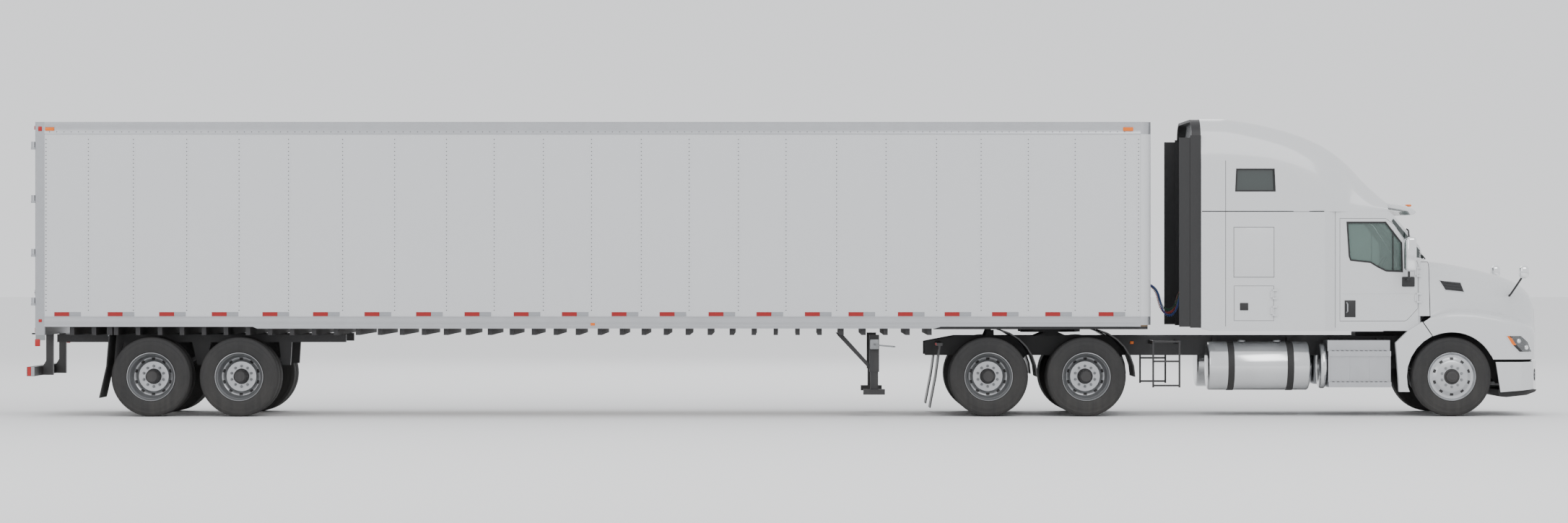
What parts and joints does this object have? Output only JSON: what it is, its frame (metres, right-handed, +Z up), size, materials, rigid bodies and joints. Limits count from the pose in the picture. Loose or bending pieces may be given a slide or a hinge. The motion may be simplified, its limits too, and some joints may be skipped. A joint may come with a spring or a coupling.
{
  "type": "semi truck",
  "caption": "Articulated sleeper tractor with a closed box semi-trailer, hinged at the kingpin, with steering, rolling wheels, tilting hood and opening doors.",
  "frame": {"origin": "on the ground under the middle of the whole length, on the centre plane", "axes": "+X forward, from the trailer's doors to the bumper; +Y to the truck's left; +Z up"},
  "size_m": [21.045, 2.96, 4.137],
  "materials": {
    "white_paint": "gloss white",
    "trailer_sheet": "gloss white sheet",
    "aluminium": "satin",
    "polished": "polished",
    "chassis": "semi-gloss black",
    "black_plastic": "matt",
    "tyre": "matt",
    "glass": "clear, slightly green",
    "chrome": "bright",
    "lens": "clear lens",
    "interior": "matt grey",
    "floor": "bare hardwood with steel crossmembers",
    "rubber": "matt",
    "red_hose": "coiled hose, red",
    "blue_hose": "coiled hose, blue",
    "green_cable": "coiled cable, dark green",
    "cast": "painted casting"
  },
  "bodies": {
    "tractor": {"tractor_frame": "chassis", "fifth_wheel": "cast", "tractor_axles": "cast", "engine": "cast", "cab_body": "white_paint", "roof_cap": "white_paint", "cab_glass": "glass", "side_extenders": "black_plastic", "cab_interior": "interior", "fuel_tanks": "polished", "steps": "aluminium", "mudguards": "black_plastic", "bumper": "white_paint", "air_line_red": "red_hose", "air_line_blue": "blue_hose", "power_cable": "green_cable"},
    "hood": {"hood": "white_paint", "grille": "chrome", "headlights": "lens", "hood_mirrors": "chrome"},
    "cab_door_left": {"cab_door_left": "white_paint", "door_glass_left": "glass", "door_mirror_left": "chrome"},
    "cab_door_right": {"cab_door_right": "white_paint", "door_glass_right": "glass", "door_mirror_right": "chrome"},
    "locker_door_left": {"locker_door_left": "white_paint"},
    "locker_door_right": {"locker_door_right": "white_paint"},
    "knuckle_left": {"knuckle_left": "cast"},
    "knuckle_right": {"knuckle_right": "cast"},
    "tie_rod": {"tie_rod": "cast"},
    "trailer": {"trailer_walls": "trailer_sheet", "trailer_roof": "aluminium", "trailer_floor": "floor", "rear_frame": "trailer_sheet", "landing_gear": "chassis", "trailer_bogie": "chassis", "trailer_flaps": "rubber"},
    "rear_door_left": {"rear_door_left": "trailer_sheet"},
    "rear_door_right": {"rear_door_right": "trailer_sheet"},
    "front_left_wheel": {"front_left_tyre": "tyre", "front_left_rim": "polished"},
    "front_right_wheel": {"front_right_tyre": "tyre", "front_right_rim": "polished"},
    "drive_front_left_wheel": {"drive_front_left_tyre": "tyre", "drive_front_left_rim": "polished"},
    "drive_front_right_wheel": {"drive_front_right_tyre": "tyre", "drive_front_right_rim": "polished"},
    "drive_rear_left_wheel": {"drive_rear_left_tyre": "tyre", "drive_rear_left_rim": "polished"},
    "drive_rear_right_wheel": {"drive_rear_right_tyre": "tyre", "drive_rear_right_rim": "polished"},
    "trailer_front_left_wheel": {"trailer_front_left_tyre": "tyre", "trailer_front_left_rim": "polished"},
    "trailer_front_right_wheel": {"trailer_front_right_tyre": "tyre", "trailer_front_right_rim": "polished"},
    "trailer_rear_left_wheel": {"trailer_rear_left_tyre": "tyre", "trailer_rear_left_rim": "polished"},
    "trailer_rear_right_wheel": {"trailer_rear_right_tyre": "tyre", "trailer_rear_right_rim": "polished"}
  },
  "joints": [
    {"name": "trailer_yaw", "type": "hinge", "parent": "tractor", "child": "trailer", "pos_m": [3.7395, 0, 1.21], "axis": [0, 0, 1], "range_deg": [-90, 90], "deforming": ["air_line_red", "air_line_blue", "power_cable"]},
    {"name": "steer_left", "type": "hinge", "parent": "tractor", "child": "knuckle_left", "pos_m": [9.2545, 0.85, 0.552], "axis": [0, 0, 1], "range_deg": [-36, 36]},
    {"name": "steer_right", "type": "hinge", "parent": "tractor", "child": "knuckle_right", "pos_m": [9.2545, -0.85, 0.552], "axis": [0, 0, 1], "range_deg": [-36, 36]},
    {"name": "tie_rod_left_end", "type": "hinge", "parent": "knuckle_left", "child": "tie_rod", "pos_m": [9.0545, 0.85, 0.4], "axis": [0, 0, 1], "range_deg": [-36, 36]},
    {"name": "front_left_spin", "type": "hinge", "parent": "knuckle_left", "child": "front_left_wheel", "pos_m": [9.2545, 1.05, 0.552], "axis": [0, 1, 0], "continuous": true},
    {"name": "front_right_spin", "type": "hinge", "parent": "knuckle_right", "child": "front_right_wheel", "pos_m": [9.2545, -1.05, 0.552], "axis": [0, 1, 0], "continuous": true},
    {"name": "drive_front_left_spin", "type": "hinge", "parent": "tractor", "child": "drive_front_left_wheel", "pos_m": [4.1765, 0.94, 0.552], "axis": [0, 1, 0], "continuous": true},
    {"name": "drive_front_right_spin", "type": "hinge", "parent": "tractor", "child": "drive_front_right_wheel", "pos_m": [4.1765, -0.94, 0.552], "axis": [0, 1, 0], "continuous": true},
    {"name": "drive_rear_left_spin", "type": "hinge", "parent": "tractor", "child": "drive_rear_left_wheel", "pos_m": [2.8195, 0.94, 0.552], "axis": [0, 1, 0], "continuous": true},
    {"name": "drive_rear_right_spin", "type": "hinge", "parent": "tractor", "child": "drive_rear_right_wheel", "pos_m": [2.8195, -0.94, 0.552], "axis": [0, 1, 0], "continuous": true},
    {"name": "trailer_front_left_spin", "type": "hinge", "parent": "trailer", "child": "trailer_front_left_wheel", "pos_m": [-7.5765, 0.995, 0.552], "axis": [0, 1, 0], "continuous": true},
    {"name": "trailer_front_right_spin", "type": "hinge", "parent": "trailer", "child": "trailer_front_right_wheel", "pos_m": [-7.5765, -0.995, 0.552], "axis": [0, 1, 0], "continuous": true},
    {"name": "trailer_rear_left_spin", "type": "hinge", "parent": "trailer", "child": "trailer_rear_left_wheel", "pos_m": [-8.7985, 0.995, 0.552], "axis": [0, 1, 0], "continuous": true},
    {"name": "trailer_rear_right_spin", "type": "hinge", "parent": "trailer", "child": "trailer_rear_right_wheel", "pos_m": [-8.7985, -0.995, 0.552], "axis": [0, 1, 0], "continuous": true},
    {"name": "cab_door_left", "type": "hinge", "parent": "tractor", "child": "cab_door_left", "pos_m": [8.7855, 1.103, 1.5], "axis": [0, 0, 1], "range_deg": [-70, 0]},
    {"name": "cab_door_right", "type": "hinge", "parent": "tractor", "child": "cab_door_right", "pos_m": [8.7855, -1.103, 1.5], "axis": [0, 0, 1], "range_deg": [0, 70]},
    {"name": "locker_door_left", "type": "hinge", "parent": "tractor", "child": "locker_door_left", "pos_m": [6.7635, 1.238, 1.5], "axis": [0, 0, 1], "range_deg": [-100, 0]},
    {"name": "locker_door_right", "type": "hinge", "parent": "tractor", "child": "locker_door_right", "pos_m": [6.7635, -1.238, 1.5], "axis": [0, 0, 1], "range_deg": [0, 100]},
    {"name": "rear_door_left", "type": "hinge", "parent": "trailer", "child": "rear_door_left", "pos_m": [-10.4435, 1.302, 1.5], "axis": [0, 0, 1], "range_deg": [-270, 0]},
    {"name": "rear_door_right", "type": "hinge", "parent": "trailer", "child": "rear_door_right", "pos_m": [-10.4435, -1.302, 1.5], "axis": [0, 0, 1], "range_deg": [0, 270]},
    {"name": "hood_tilt", "type": "hinge", "parent": "tractor", "child": "hood", "pos_m": [10.4915, 0, 0.787], "axis": [0, 1, 0], "range_deg": [0, 65]}
  ],
  "couplings": [
    {"joint": "steer_right", "follows": "steer_left", "ratio": 1},
    {"joint": "tie_rod_left_end", "follows": "steer_left", "ratio": -1}
  ]
}
